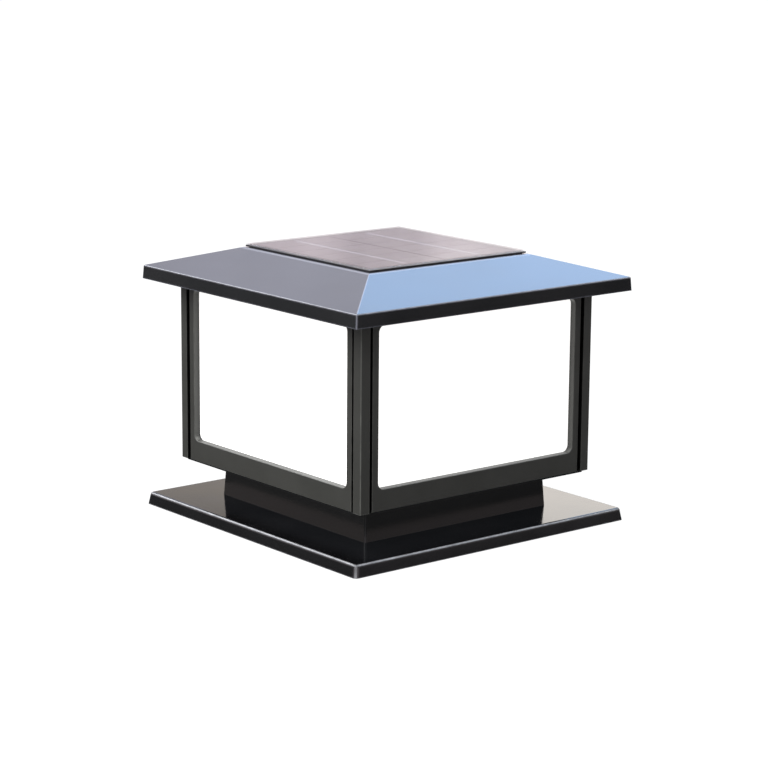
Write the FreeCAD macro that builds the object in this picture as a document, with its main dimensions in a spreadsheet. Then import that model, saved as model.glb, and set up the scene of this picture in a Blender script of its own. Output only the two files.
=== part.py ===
import FreeCAD, Part
import math
import os
import re
import Sketcher

# A solar cap light for a deck post: a square lantern of four corner posts, four window frames and
# four opal panes stands on a neck and a flat base, under a low hipped roof that carries the solar
# panel on its flat top and the battery, charge controller and lamp board inside.
#
# Millimetres, +Z up. The origin is the middle of the base's underside, where it meets the post.
# Front is -Y, right is +X. Across and lengthwise sizes are symmetric about the Z axis.

SIZES = [
    ("eave_reach", 15.8, "roof beyond the posts, at the foot of its rim"),
    ("rim_lean", 0.5, "how far the rim leans in, up to its fold"),
    ("rim_height", 7.7, "rim from its bottom edge to the fold"),
    ("roof_rise", 12.1, "slope from the fold to the flat top"),
    ("panel_border", 0.8, "flat roof that shows round the panel"),
    ("roof_wall", 1.4, "thickness of the roof casting"),
    ("roof_edge", 0.9, "rounding of the roof's outside edges"),
    ("rim_drop", 2.7, "how far the rim hangs below the ceiling tray"),
    ("lead_hole", 10.0, "hole in the roof for the panel's leads"),
    ("base_reach", 15.0, "base beyond the posts, at its foot"),
    ("base_lean", 1.2, "how far its skirt leans in, up to its top"),
    ("base_height", 7.2, "base from the post to its top face"),
    ("base_wall", 2.0, "thickness of the base casting"),
    ("base_corner", 2.6, "rounding of the base's upright corners"),
    ("base_edge", 1.8, "rounding of the base's top edge"),
    ("mount_inset", 15.4, "deck screws inside the neck's bosses, which puts them 90 apart"),
    ("mount_hole", 5.5, "hole for a deck screw"),
    ("mount_boss", 12.0, "boss round a deck screw's hole"),
    ("neck_setback", 17.3, "neck's foot inside the posts' faces"),
    ("neck_lean", 1.2, "how far the neck leans in, up to its head"),
    ("neck_height", 20.5, "neck from the base to the lower ring"),
    ("neck_wall", 2.2, "thickness of the neck casting"),
    ("neck_edge", 1.2, "rounding of the neck's upright corners"),
    ("neck_boss", 9.0, "screw boss in the neck's corners"),
    ("neck_boss_inset", 6.5, "neck's screw bosses inside its foot"),
    ("lower_ring_spare", 0.15, "lower ring's thickness past its screws' heads"),
    ("lower_ring_lip", 12.9, "lower ring's opening inside the neck's foot"),
    ("upper_ring_spare", 0.65, "upper ring's thickness past its screws' heads"),
    ("upper_ring_width", 14.2, "from the posts' faces to the opening for the roof's pan"),
    ("body_width", 168.4, "lantern across the outside of its posts"),
    ("body_height", 106.3, "length of a post"),
    ("post_face", 6.2, "width of a post's outside face"),
    ("post_edge", 1.0, "rounding of a post's outside corner"),
    ("post_flange", 1.8, "thickness of the flange behind a frame"),
    ("post_lip", 1.6, "thickness of the lip behind a pane"),
    ("post_bore_inset", 5.9, "screw channel from a post's outside faces"),
    ("flange_lap", 2.2, "how far a flange reaches behind a frame"),
    ("slot_play", 0.2, "room for a pane in a post's slot"),
    ("slot_depth", 2.0, "depth of that slot"),
    ("shadow_gap", 2.2, "groove between a post's face and a frame"),
    ("frame_setback", 0.4, "frames behind the posts' faces"),
    ("frame_thickness", 2.2, "thickness of a window frame"),
    ("frame_stile", 4.4, "upright strip beside a window"),
    ("frame_bottom_rail", 12.1, "rail under a window"),
    ("frame_top_rail", 4.4, "rail over a window"),
    ("frame_rim", 2.0, "rim round a window's back that the pane sits on"),
    ("frame_return", 8.0, "depth of a frame's top and bottom returns"),
    ("frame_return_thickness", 1.8, "thickness of those returns"),
    ("return_screw_inset", 2.0, "screw hole from a return's inner edge"),
    ("frame_edge", 0.5, "softened outside edges of a frame"),
    ("window_corner", 3.8, "rounding of a window's corners"),
    ("pane_thickness", 2.0, "opal pane"),
    ("pane_clearance", 0.3, "free play round a pane's edges"),
    ("tray_thickness", 1.8, "plate of the ceiling tray"),
    ("tray_clearance", 0.7, "between the tray's edge and the rim"),
    ("pan_clearance", 0.6, "between the roof's pan and the upper ring"),
    ("pan_depth", 11.0, "pan below the tray's plate"),
    ("pan_wall", 2.0, "wall and floor of the pan"),
    ("tray_screw_inset", 12.0, "tray's screws inside the rim"),
    ("roof_boss", 6.4, "boss that a tray screw bites into"),
    ("reflector_inset", 4.4, "white sheet inside the pan's sides"),
    ("reflector_thickness", 1.0, "thickness of that sheet"),
    ("lamp_board_gap", 2.0, "between the lamp board and the battery's lid"),
    ("lamp_board_thickness", 1.2, "thickness of the lamp board"),
    ("lamp_board_clearance", 0.5, "gap round the lamp board"),
    ("lamp_screw_inset", 4.0, "lamp board's screws from its edges"),
    ("lamp_lead_inset", 6.0, "lamp's lead hole from the controller's front edge"),
    ("chip_width", 3.0, "one light-emitting chip"),
    ("chip_height", 0.8, "its height"),
    ("chip_margin", 10.5, "outer chips from the lamp board's edge"),
    ("panel_width", 114.0, "solar panel"),
    ("panel_tape_inset", 1.5, "foam tape inside the panel's edge"),
    ("panel_tape_band", 6.0, "width of the tape"),
    ("panel_tape_thickness", 0.4, "thickness of the tape"),
    ("backboard_thickness", 0.8, "board under the solar cells"),
    ("cell_thickness", 0.2, "solar cell"),
    ("cell_margin", 5.0, "from the panel's edge to the cells"),
    ("cell_gap", 0.5, "between cells in a row"),
    ("column_gap", 1.4, "between the two columns of cells"),
    ("ribbon_width", 3.0, "ribbon along the middle of each column"),
    ("ribbon_thickness", 0.15, "thickness of the ribbon"),
    ("ribbon_inset", 2.0, "ribbon's ends from the cells' ends"),
    ("panel_cover_thickness", 0.6, "clear sheet over the cells, to the panel's top"),
    ("battery_diameter", 18.4, "round cell"),
    ("battery_length", 65.2, "its length"),
    ("battery_gap", 8.4, "between the battery's holder and the pan's wall"),
    ("battery_clearance", 0.3, "between the cell and the lid under it"),
    ("bay_end_room", 2.6, "bay under the battery, past each of its ends"),
    ("bay_side_room", 1.8, "bay past its sides"),
    ("lid_lap", 3.0, "how far the lid covers the floor round the bay"),
    ("lid_clearance", 0.3, "gap round the lid"),
    ("lid_thickness", 1.0, "flat of the lid, sunk in the floor"),
    ("lid_plug", 0.8, "plug of the lid above its flat"),
    ("grip_length", 6.0, "grooves that a nail catches in, on the lid"),
    ("grip_width", 1.2, "their width"),
    ("grip_pitch", 4.0, "between them"),
    ("grip_inset", 2.0, "from them to the end of the bay"),
    ("holder_wall", 2.0, "walls of the battery holder"),
    ("holder_height", 12.0, "height of the battery holder"),
    ("contact_thickness", 0.5, "battery contact plates"),
    ("contact_nib", 6.0, "round nib of a contact"),
    ("contact_width", 12.0, "width of a contact plate"),
    ("contact_margin", 1.0, "contact plate below the top of the holder and above its foot"),
    ("control_length", 50.0, "charge controller board along X"),
    ("control_width", 40.0, "along Y"),
    ("control_thickness", 1.6, "its thickness"),
    ("lamp_lead_margin", 4.0, "lamp's lead hole from the lamp board's edge"),
    ("standoff_height", 4.0, "posts under the controller"),
    ("standoff_width", 6.0, "their diameter"),
    ("control_hole_inset", 4.0, "controller's screws from its edges"),
    ("switch_width", 7.6, "push switch body"),
    ("switch_height", 2.7, "its height above the tray"),
    ("switch_roof", 0.5, "its wall over the button"),
    ("switch_inset", 12.7, "switch under the left eave, inside the rim"),
    ("switch_back", 45.0, "switch behind the middle"),
    ("button_diameter", 4.6, "push button"),
    ("button_stem", 2.2, "button below the tray's underside"),
    ("button_flange", 1.0, "thickness of the button's flange"),
    ("button_flange_diameter", 5.8, "its diameter"),
    ("button_gap", 0.3, "clearance round the button"),
    ("button_lift", 0.1, "between the button's flange and the tray"),
    ("button_edge", 0.6, "rounding of the button's end"),
    ("screw_shank", 2.9, "thread of the small screws"),
    ("screw_head", 5.6, "head of the small screws"),
    ("screw_head_height", 2.0, "its height"),
    ("screw_bite", 6.0, "how far the ring screws reach past their ring"),
    ("tray_screw_bite", 2.8, "how far the tray screws reach past the tray"),
    ("base_screw_bite", 10.0, "how far the base's screws reach into the neck"),
    ("neck_screw_bite", 6.0, "how far the ring's screws reach into the neck"),
    ("stud_screw_bite", 3.0, "how far the controller's screws reach into their studs"),
    ("frame_screw_spread", 80.0, "between the two screws of a frame's return"),
    ("thread_gap", 0.05, "between a screw and its hole"),
    ("clear_gap", 0.25, "between a screw and a hole it only passes"),
    ("cross_width", 0.8, "arm of a cross recess"),
    ("cross_length", 3.2, "its length"),
    ("cross_depth", 1.0, "its depth"),
    ("lead_diameter", 1.4, "insulated wire"),
    ("lead_bend", 2.4, "middle radius of a wire's bends"),
    ("lead_pitch", 1.8, "between the two wires of a pair"),
    ("lead_slack", 1.0, "room round a pair in its hole"),
    ("lead_touch", 0.05, "between a wire's end and what it is soldered to"),
    ("lead_stand", 0.3, "between a wire's side and what it lies on"),
    ("lead_rise", 5.0, "wires above the controller's top"),
    ("lead_inset", 5.0, "battery's and switch's wires from the controller's ends"),
    ("lamp_lead_spread", 18.0, "between the lamp's wires where they meet the controller"),
    ("switch_lead_x", -48.0, "where the switch's wires run forwards"),
    ("grommet_lap", 1.5, "grommet's flange past its hole"),
    ("grommet_flange", 1.2, "thickness of that flange"),
    ("drill_over", 1.0, "how far a drilled hole runs past a face"),
]

# Places worked out from the sizes. Each may use the ones above it.
PLACES = {
    # heights
    "cone_depth": "(screw_head - screw_shank) / 2",
    "lower_ring_thickness": "cone_depth + lower_ring_spare",
    "upper_ring_thickness": "cone_depth + upper_ring_spare",
    "neck_z": "base_height",
    "lower_ring_z": "neck_z + neck_height",
    "body_z": "lower_ring_z + lower_ring_thickness",
    "upper_ring_z": "body_z + body_height",
    "tray_z": "upper_ring_z + upper_ring_thickness",
    "tray_top_z": "tray_z + tray_thickness",
    "rim_z": "tray_z - rim_drop",
    "fold_z": "rim_z + rim_height",
    "roof_top_z": "fold_z + roof_rise",
    # half widths, each from the one that it sits on or in
    "body_half": "body_width / 2",
    "base_half": "body_half + base_reach",
    "neck_half": "body_half - neck_setback",
    "neck_boss_spot": "neck_half - neck_boss_inset",
    "mount_spot": "neck_boss_spot - mount_inset",
    "rim_half": "body_half + eave_reach",
    "fold_half": "rim_half - rim_lean",
    "panel_half": "panel_width / 2",
    "flat_half": "panel_half + panel_border",
    "tray_half": "rim_half - roof_wall - tray_clearance",
    "tray_screw": "rim_half - tray_screw_inset",
    "pan_half": "body_half - upper_ring_width - pan_clearance",
    # depths into the lantern, from the posts' outside faces
    "flange_front": "frame_setback + frame_thickness",
    "flange_back": "flange_front + post_flange",
    "slot_back": "flange_back + pane_thickness + slot_play",
    "lip_back": "slot_back + post_lip",
    "return_back": "flange_front + frame_return",
    # distances along a face, from the lantern's corner
    "frame_start": "post_face + shadow_gap",
    "flange_end": "frame_start + flange_lap",
    "slot_end": "flange_end - slot_depth",
    "frame_half": "body_half - frame_start",
    "window_half": "frame_half - frame_stile",
    "frame_front": "body_half - frame_setback",
    "frame_back": "body_half - flange_front",
    "window_low": "body_z + frame_bottom_rail",
    "window_high": "upper_ring_z - frame_top_rail",
    "ring_screw": "body_half - post_bore_inset",
    "return_screw": "body_half - return_back + return_screw_inset",
    "ring_half": "frame_back",
    # the pan and what it carries
    "pan_z": "tray_z - pan_depth",
    "pan_floor_z": "pan_z + pan_wall",
    "bay_half": "battery_length / 2 + bay_end_room",
    "bay_side": "battery_diameter / 2 + bay_side_room",
    "lid_half_x": "bay_half + lid_lap",
    "lid_half_y": "bay_side + lid_lap",
    "lid_top_z": "pan_z + lid_thickness + lid_plug",
    "battery_y": "pan_half - pan_wall - battery_gap - holder_wall - bay_side",
    "battery_z": "lid_top_z + battery_clearance + battery_diameter / 2",
    "lamp_half": "battery_y - lid_half_y - lamp_board_gap",
    "lamp_screw_spot": "lamp_half - lamp_screw_inset",
    "lamp_lead_spot": "lamp_lead_margin - lamp_half",
    "lamp_z": "pan_z - lamp_board_thickness",
    "control_y": "lamp_lead_spot - lamp_lead_inset + control_width / 2",
    "control_z": "pan_floor_z + standoff_height",
    "control_top_z": "control_z + control_thickness",
    "switch_x": "switch_inset - rim_half",
    "switch_roof_z": "tray_top_z + switch_height - switch_roof",
    "button_z": "tray_z - button_stem",
    # the solar panel
    "tape_z": "roof_top_z",
    "backboard_z": "tape_z + panel_tape_thickness",
    "cell_z": "backboard_z + backboard_thickness",
    "cover_z": "cell_z + cell_thickness",
    "cells_half": "panel_half - cell_margin",
    "column_middle": "(cells_half + column_gap / 2) / 2",
}

CELL_ROWS = 6
CHIPS_PER_SIDE = 4

# What stands on the charge controller: middle from the board's middle, length, width and height.
CONTROL_PARTS = [
    ("charge chip", -8, -2, 8, 5, 1.6),
    ("coil", 8, 2, 6, 6, 4.5),
    ("transistor", 12, -10, 7, 5, 3),
    ("battery plug", -14, 8, 7, 5, 6),
]
CAPACITOR = {"x": 1, "y": -8, "diameter": 5, "height": 9}

doc = FreeCAD.newDocument("PostCapLight")
sheet = doc.addObject("Spreadsheet::Sheet", "Sizes")
for row, (alias, size, meaning) in enumerate(SIZES, start=1):
    sheet.set(f"A{row}", meaning)
    sheet.set(f"B{row}", str(size))
    sheet.setAlias(f"B{row}", alias)
doc.recompute()
ALIASES = {alias for alias, size, meaning in SIZES}
PIECES = []
WAITING = {}


# ---- expressions ------------------------------------------------------------------------------

def tie(text):
    """The text as an expression on the sheet: places are written out, sizes point at their cells."""
    def swap(word):
        name = word.group()
        if name in PLACES:
            return "(" + tie(PLACES[name]) + ")"
        return "Sizes." + name if name in ALIASES else name
    return re.sub(r"[a-z_]+", swap, str(text))


def number(text):
    """The value that an expression has now."""
    return float(sheet.evalExpression(tie(text)))


def minus(text):
    return f"-({text})"


# ---- sketches and features --------------------------------------------------------------------

def new_body(label, quarter_turns=0):
    """An empty piece, turned about the Z axis by some quarter turns."""
    body = doc.addObject("PartDesign::Body", label)
    body.Label = label
    body.Placement.Rotation = FreeCAD.Rotation(FreeCAD.Vector(0, 0, 1), 90 * quarter_turns)
    return body


def attach(feature, body, role):
    """Fixes a sketch or a primitive to one of its body's own planes."""
    plane = next(part for part in body.Origin.OriginFeatures if part.Role == role)
    feature.AttachmentSupport = [(plane, "")]
    feature.MapMode = "FlatFace"


def new_sketch(body, height, role="XY_Plane"):
    """A sketch on one of the body's own planes, moved along its normal by height."""
    sketch = body.newObject("Sketcher::SketchObject", body.Label + "_sketch")
    attach(sketch, body, role)
    sketch.setExpression("AttachmentOffset.Base.z", tie(height))
    WAITING[sketch.Name] = []
    return sketch


def hold_point(sketch, edge, end, x, y):
    """Ties one point of a sketch to a pair of expressions, once the sketch is settled."""
    for kind, text in (("DistanceX", x), ("DistanceY", y)):
        constraint = Sketcher.Constraint(kind, -1, 1, edge, end, number(text))
        WAITING[sketch.Name].append((constraint, text))


def polygon(sketch, points):
    """A closed outline through points, each a pair of expressions."""
    first = sketch.GeometryCount
    corners = [FreeCAD.Vector(number(x), number(y), 0) for x, y in points]
    following = corners[1:] + corners[:1]
    sketch.addGeometry([Part.LineSegment(start, end) for start, end in zip(corners, following)])
    count = len(points)
    for index, (x, y) in enumerate(points):
        joint = (first + index, 2, first + (index + 1) % count, 1)
        WAITING[sketch.Name].append((Sketcher.Constraint("Coincident", *joint), None))
        hold_point(sketch, first + index, 1, x, y)


def settle(sketch):
    """Adds a sketch's waiting constraints in one step and ties their values to the sheet."""
    waiting = WAITING.pop(sketch.Name)
    first = sketch.ConstraintCount
    sketch.addConstraint([constraint for constraint, text in waiting])
    for index, (constraint, text) in enumerate(waiting, start=first):
        if text is not None:
            sketch.setExpression(f"Constraints[{index}]", tie(text))


def rectangle(sketch, low_x, low_y, high_x, high_y):
    polygon(sketch, [(low_x, low_y), (high_x, low_y), (high_x, high_y), (low_x, high_y)])


def square(sketch, half):
    rectangle(sketch, minus(half), minus(half), half, half)


def circle(sketch, x, y, diameter):
    radius = number(diameter) / 2
    middle = FreeCAD.Vector(number(x), number(y), 0)
    edge = sketch.addGeometry(Part.Circle(middle, FreeCAD.Vector(0, 0, 1), radius))
    hold_point(sketch, edge, 3, x, y)
    WAITING[sketch.Name].append((Sketcher.Constraint("Radius", edge, radius), f"({diameter}) / 2"))


def slots(sketch, spots, half_x, half_y):
    """One small rectangle about each spot."""
    for x, y in spots:
        rectangle(sketch, f"{x} - {half_x}", f"{y} - {half_y}", f"{x} + {half_x}", f"{y} + {half_y}")


def pad(body, sketch, length, downward=False):
    settle(sketch)
    feature = body.newObject("PartDesign::Pad", body.Label + "_pad")
    feature.Profile = sketch
    feature.Reversed = downward
    feature.setExpression("Length", tie(length))
    doc.recompute()
    return feature


def pocket(body, sketch, length, upward=False):
    """Cuts a sketch's outline downwards from its plane, or upwards."""
    settle(sketch)
    before = body.Shape.Volume
    feature = body.newObject("PartDesign::Pocket", body.Label + "_pocket")
    feature.Profile = sketch
    feature.Reversed = upward
    feature.setExpression("Length", tie(length))
    doc.recompute()
    if body.Shape.Volume > before - 1e-6:
        raise RuntimeError(f"{body.Label}: a pocket cut nothing")
    return feature


def wedge(body, low_half, high_half, low_z, high_z):
    """Adds a square block with leaning sides. It stands on the upright plane, whose own Y is up."""
    feature = body.newObject("PartDesign::AdditiveWedge", body.Label + "_wedge")
    attach(feature, body, "XZ_Plane")
    limits = {"Xmin": minus(low_half), "Xmax": low_half, "Zmin": minus(low_half), "Zmax": low_half,
              "X2min": minus(high_half), "X2max": high_half, "Z2min": minus(high_half),
              "Z2max": high_half, "Ymin": low_z, "Ymax": high_z}
    for name, text in limits.items():
        feature.setExpression(name, tie(text))
    doc.recompute()
    return feature


def fillet(body, radius, wanted):
    """Rounds the tip's edges that wanted(edge) is true for."""
    tip = body.Tip
    names = [f"Edge{index}" for index, edge in enumerate(tip.Shape.Edges, start=1) if wanted(edge)]
    feature = body.newObject("PartDesign::Fillet", body.Label + "_fillet")
    feature.Base = (tip, names)
    feature.setExpression("Radius", tie(radius))
    doc.recompute()
    return feature


def runs_up(edge, lean=0.9):
    """Whether an edge is straight and nearly upright."""
    start, end = edge.firstVertex().Point, edge.lastVertex().Point
    run = end - start
    return run.Length > 1e-6 and abs(run.z) / run.Length > lean


def lies_at(edge, height):
    box = edge.BoundBox
    return abs(box.ZMin - height) < 1e-4 and abs(box.ZMax - height) < 1e-4


def at_corners(spot):
    """The four points (+-spot, +-spot)."""
    return [(x, y) for x in (spot, minus(spot)) for y in (spot, minus(spot))]


def on_sides(spot, spread):
    """Two points on each of the four sides, spread apart, at a distance spot from the middle."""
    points = []
    for side in (spot, minus(spot)):
        for along in (f"({spread}) / 2", minus(f"({spread}) / 2")):
            points += [(side, along), (along, side)]
    return points


def keep(piece, label):
    """Marks an object as a finished piece."""
    piece.Label = label
    PIECES.append(piece)
    return piece


# ---- shared forms -----------------------------------------------------------------------------

def frustum(label, low_half, high_half, low_z, height, corner=None):
    """A square block with leaning sides."""
    body = new_body(label)
    wedge(body, low_half, high_half, low_z, f"{low_z} + {height}")
    if corner:
        fillet(body, corner, runs_up)
    return body


def block(label, half, low_z, height, corner):
    """A square block with upright sides and rounded corners."""
    body = new_body(label)
    sketch = new_sketch(body, low_z)
    square(sketch, half)
    pad(body, sketch, height)
    fillet(body, corner, runs_up)
    return body


def cylinder(x, y, low_z, height, diameter):
    peg = doc.addObject("Part::Cylinder", "Peg")
    peg.setExpression("Placement.Base.x", tie(x))
    peg.setExpression("Placement.Base.y", tie(y))
    peg.setExpression("Placement.Base.z", tie(low_z))
    peg.setExpression("Radius", tie(f"({diameter}) / 2"))
    peg.setExpression("Height", tie(height))
    return peg


def cut(base, tool, label):
    feature = doc.addObject("Part::Cut", label)
    feature.Base = base
    feature.Tool = tool
    return feature


def joined(shapes, label):
    feature = doc.addObject("Part::MultiFuse", label)
    feature.Shapes = shapes
    return feature


def plate(label, low_z, thickness, half, opening=None, holes=()):
    """A flat square plate, with a square opening and round holes given as (x, y, diameter)."""
    body = new_body(label)
    sketch = new_sketch(body, low_z)
    square(sketch, half)
    if opening:
        square(sketch, opening)
    for x, y, diameter in holes:
        circle(sketch, x, y, diameter)
    pad(body, sketch, thickness)
    return body


def screws(label, spots, seat_z, bite, heads_up, sunk=False):
    """A set of like screws. The head's flat is at seat_z, above the joint or below it."""
    body = new_body(label)
    shanks = new_sketch(body, seat_z)
    for x, y in spots:
        circle(shanks, x, y, "screw_shank")
    pad(body, shanks, bite, downward=heads_up)
    heads = new_sketch(body, seat_z)
    for x, y in spots:
        circle(heads, x, y, "screw_head")
    if sunk:
        narrowing(pad(body, heads, "screw_head_height", downward=heads_up))
        top = seat_z
    else:
        pad(body, heads, "screw_head_height", downward=not heads_up)
        top = f"{seat_z} {'+' if heads_up else '-'} screw_head_height"
    for half_x, half_y in (("cross_length / 2", "cross_width / 2"),
                           ("cross_width / 2", "cross_length / 2")):
        recess = new_sketch(body, top)
        slots(recess, spots, half_x, half_y)
        pocket(body, recess, "cross_depth", upward=not heads_up)
    return keep(body, label)


def narrowing(feature):
    """Makes a pad or pocket of head-sized circles narrow down to the shank, at 45 degrees."""
    feature.TaperAngle = -45
    feature.setExpression("Length", tie("cone_depth"))
    doc.recompute()


# ---- base and neck ----------------------------------------------------------------------------

THREAD = "screw_shank + 2 * thread_gap"
PASS = "screw_shank + 2 * clear_gap"
SEAT = "screw_head + 2 * thread_gap"
PAIR_HOLE = "lead_diameter + lead_pitch + lead_slack"


def base_plate():
    """A shallow casting, open underneath, with a boss round each deck screw."""
    outside = frustum("base_outside", "base_half", "base_half - base_lean", "0",
                      "base_height", "base_corner")
    top = number("base_height")
    fillet(outside, "base_edge", lambda edge: lies_at(edge, top))
    inside = block("base_inside", "base_half - base_lean - base_wall", "0",
                   "base_height - base_wall", "base_corner - base_wall")
    bosses = joined([cylinder(x, y, "0", "base_height", "mount_boss")
                     for x, y in at_corners("mount_spot")], "base_bosses")
    hollow = cut(inside, bosses, "base_hollow")
    run = "base_height + 2 * drill_over"
    drills = [cylinder(x, y, minus("drill_over"), run, "mount_hole")
              for x, y in at_corners("mount_spot")]
    drills += [cylinder(x, y, minus("drill_over"), run, PASS)
               for x, y in at_corners("neck_boss_spot")]
    shell = cut(outside, hollow, "base_shell")
    keep(cut(shell, joined(drills, "base_drills"), "base_plate"), "base_plate")
    screws("base_screws", at_corners("neck_boss_spot"), "base_height - base_wall",
           "base_screw_bite + base_wall", heads_up=False)


def neck():
    """A square collar, a little wider at its foot, with a screw boss in each corner."""
    outside = frustum("neck_outside", "neck_half", "neck_half - neck_lean", "neck_z",
                      "neck_height", "neck_edge")
    inside = frustum("neck_inside", "neck_half - neck_wall",
                     "neck_half - neck_lean - neck_wall", "neck_z", "neck_height")
    bosses = joined([cylinder(x, y, "neck_z", "neck_height", "neck_boss")
                     for x, y in at_corners("neck_boss_spot")], "neck_bosses")
    hollow = cut(inside, bosses, "neck_hollow")
    drills = joined([cylinder(x, y, "neck_z - drill_over", "neck_height + 2 * drill_over", THREAD)
                     for x, y in at_corners("neck_boss_spot")], "neck_drills")
    shell = cut(outside, hollow, "neck_shell")
    keep(cut(shell, drills, "neck"), "neck")


# ---- lantern ----------------------------------------------------------------------------------

def lower_ring():
    """The steel ring that the posts and frames stand on, screwed down to the neck. The screws
    that come up through it lie flush underneath."""
    spots = ring_spots()
    ring = plate("lower_ring", "lower_ring_z", "lower_ring_thickness", "ring_half",
                 "neck_half - lower_ring_lip",
                 [(x, y, PASS) for x, y in spots + at_corners("neck_boss_spot")])
    seats = new_sketch(ring, "lower_ring_z")
    for x, y in spots:
        circle(seats, x, y, SEAT)
    narrowing(pocket(ring, seats, "lower_ring_thickness / 2", upward=True))
    keep(ring, "lower_ring")
    screws("lower_ring_screws", spots, "lower_ring_z", "lower_ring_thickness + screw_bite",
           heads_up=False, sunk=True)
    screws("neck_screws", at_corners("neck_boss_spot"), "body_z",
           "lower_ring_thickness + neck_screw_bite", heads_up=True)


def ring_spots():
    """The screws of either ring: one in each post and two in each frame."""
    return at_corners("ring_screw") + on_sides("return_screw", "frame_screw_spread")


def upper_ring():
    """The ring on top of the posts, which carries the roof. Its screws lie flush."""
    spots = ring_spots()
    ring = plate("upper_ring", "upper_ring_z", "upper_ring_thickness", "ring_half",
                 "body_half - upper_ring_width", [(x, y, THREAD) for x, y in spots])
    seats = new_sketch(ring, "tray_z")
    for x, y in spots:
        circle(seats, x, y, SEAT)
    narrowing(pocket(ring, seats, "upper_ring_thickness / 2"))
    keep(ring, "upper_ring")
    screws("upper_ring_screws", spots, "tray_z", "upper_ring_thickness + screw_bite",
           heads_up=True, sunk=True)


def corner_post(label, quarter_turns):
    """An extrusion for one corner: two outside faces, a flange behind each frame, and a slot
    for each pane's edge. Drawn at the front right corner."""
    def at(along, deep):
        return (f"body_half - ({along})", f"({deep}) - body_half")
    one_side = [("post_face", "0"), ("post_face", "flange_front"), ("flange_end", "flange_front"),
                ("flange_end", "flange_back"), ("slot_end", "flange_back"), ("slot_end", "slot_back"),
                ("flange_end", "slot_back"), ("flange_end", "lip_back")]
    other_side = [(deep, along) for along, deep in reversed(one_side)]
    outline = [("0", "0")] + one_side + [("lip_back", "lip_back")] + other_side
    body = new_body(label, quarter_turns)
    sketch = new_sketch(body, "body_z")
    polygon(sketch, [at(along, deep) for along, deep in outline])
    circle(sketch, *at("post_bore_inset", "post_bore_inset"), THREAD)
    pad(body, sketch, "body_height")
    reach = number("body_half") - 1e-3
    fillet(body, "post_edge",
           lambda edge: runs_up(edge) and edge.BoundBox.XMin > reach and edge.BoundBox.YMax < -reach)
    keep(body, label)


def window_frame(label, quarter_turns):
    """A cast frame: a flat front with one window, a rim behind the window that the pane sits
    against, and returns at top and bottom that the rings screw into. Drawn on the front."""
    body = new_body(label, quarter_turns)
    front = new_sketch(body, "frame_front", "XZ_Plane")
    rectangle(front, minus("frame_half"), "body_z", "frame_half", "upper_ring_z")
    rectangle(front, minus("window_half"), "window_low", "window_half", "window_high")
    pad(body, front, "frame_thickness", downward=True)
    rim = new_sketch(body, "frame_back", "XZ_Plane")
    rim_half = "window_half + frame_rim"
    rectangle(rim, minus(rim_half), "window_low - frame_rim", rim_half, "window_high + frame_rim")
    rectangle(rim, minus("window_half"), "window_low", "window_half", "window_high")
    pad(body, rim, "post_flange", downward=True)
    corner = number("window_half")
    fillet(body, "window_corner",
           lambda edge: is_through(edge) and abs(abs(edge.BoundBox.XMin) - corner) < 1e-4)
    for low_z in ("body_z", "upper_ring_z - frame_return_thickness"):
        returned = new_sketch(body, low_z)
        half = "body_half - flange_end - pane_clearance"
        rectangle(returned, minus(half), minus("frame_back"), half, "return_back - body_half")
        pad(body, returned, "frame_return_thickness")
        for side in ("frame_screw_spread / 2", minus("frame_screw_spread / 2")):
            drill = new_sketch(body, low_z)
            circle(drill, side, minus("return_screw"), THREAD)
            pocket(body, drill, "frame_return_thickness", upward=True)
    outer = number("frame_front")
    fillet(body, "frame_edge", lambda edge: lies_on_front(edge, outer))
    keep(body, label)


def is_through(edge):
    """Whether an edge runs straight back through a frame's thickness."""
    box = edge.BoundBox
    return box.YLength > 0.5 and box.XLength < 1e-4 and box.ZLength < 1e-4


def lies_on_front(edge, outer):
    box = edge.BoundBox
    return abs(box.YMin + outer) < 1e-4 and abs(box.YMax + outer) < 1e-4


def opal_pane(label, quarter_turns):
    """A flat opal sheet that stands on the frame's lower return, in the posts' slots."""
    body = new_body(label, quarter_turns)
    sketch = new_sketch(body, "body_half - flange_back", "XZ_Plane")
    half = "body_half - slot_end - pane_clearance"
    rectangle(sketch, minus(half), "body_z + frame_return_thickness",
              half, "upper_ring_z - frame_return_thickness - pane_clearance")
    pad(body, sketch, "pane_thickness", downward=True)
    keep(body, label)


# ---- roof -------------------------------------------------------------------------------------

def hip_block(label, shrink, drop):
    """A rim with a hipped top. shrink and drop bring its sides and its top in, for the inside."""
    body = new_body(label)
    fold = f"fold_z - ({drop})"
    wedge(body, f"rim_half - {shrink}", f"fold_half - {shrink}", "rim_z", fold)
    wedge(body, f"fold_half - {shrink}", f"flat_half - {shrink}", fold, f"roof_top_z - ({drop})")
    return body


def roof_shell():
    """The roof casting: rim, four slopes and a flat top, hollow underneath."""
    outside = hip_block("roof_outside", "0", "0")
    low = number("rim_z")
    fillet(outside, "roof_edge", lambda edge: edge.BoundBox.ZMax > low + 1e-3)
    inside = hip_block("roof_inside", "roof_wall", "roof_wall")
    boss_spots = at_corners("tray_screw") + [("tray_screw", "0"), (minus("tray_screw"), "0"),
                                             ("0", "tray_screw"), ("0", minus("tray_screw"))]
    bosses = joined([cylinder(x, y, "tray_top_z", "roof_top_z - tray_top_z", "roof_boss")
                     for x, y in boss_spots], "roof_bosses")
    hollow = cut(inside, bosses, "roof_hollow")
    drills = [cylinder(x, y, "rim_z", "rim_drop + tray_thickness + tray_screw_bite + clear_gap",
                       THREAD) for x, y in boss_spots]
    drills.append(cylinder("0", "0", "fold_z", "roof_rise + drill_over", "lead_hole"))
    shell = cut(outside, hollow, "roof_casting")
    keep(cut(shell, joined(drills, "roof_drills"), "roof_shell"), "roof_shell")
    return boss_spots


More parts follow.
